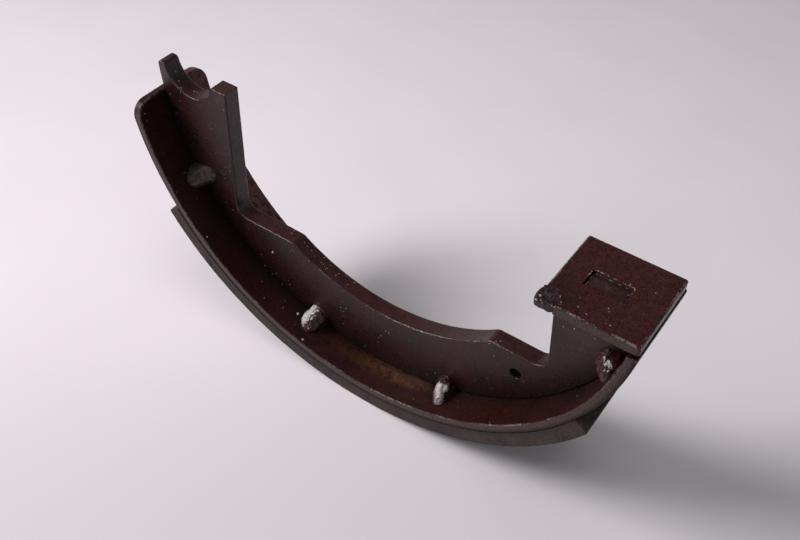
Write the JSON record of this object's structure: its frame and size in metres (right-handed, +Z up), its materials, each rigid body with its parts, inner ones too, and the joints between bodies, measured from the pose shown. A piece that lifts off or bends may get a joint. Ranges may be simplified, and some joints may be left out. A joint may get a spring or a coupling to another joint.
{
  "type": "drum brake shoe",
  "caption": "Curved drum-brake shoe of welded T section with a bonded lining, a half-round anchor seat at one end and a square cam plate at the other.",
  "frame": {"origin": "on the drum axis, in the middle of the shoe's width", "axes": "+X from the anchor end towards the cam end, +Y along the drum axis, +Z up, from the middle of the lining towards the drum axis; the shoe stands on its lining with the web upright"},
  "size_m": [0.2308, 0.04, 0.1227],
  "materials": {
    "painted_steel": "dark brown-black satin paint over rolled steel, thin and worn at the edges",
    "friction_lining": "matt grey-brown moulded friction material with a fine grain",
    "adhesive": "dark cured adhesive film",
    "weld_metal": "weld metal with thin glossy paint and bare silvery patches"
  },
  "bodies": {
    "root": {"web": "painted_steel", "table": "painted_steel", "cam_plate": "painted_steel", "lining": "friction_lining", "bond_line": "adhesive", "plate_weld_near": "weld_metal", "plate_weld_far": "weld_metal", "weld_crust": "weld_metal", "tack_weld_near_1": "weld_metal", "tack_weld_near_2": "weld_metal", "tack_weld_near_3": "weld_metal", "tack_weld_near_4": "weld_metal", "tack_weld_far_1": "weld_metal", "tack_weld_far_2": "weld_metal", "tack_weld_far_3": "weld_metal", "tack_weld_far_4": "weld_metal"}
  },
  "joints": []
}
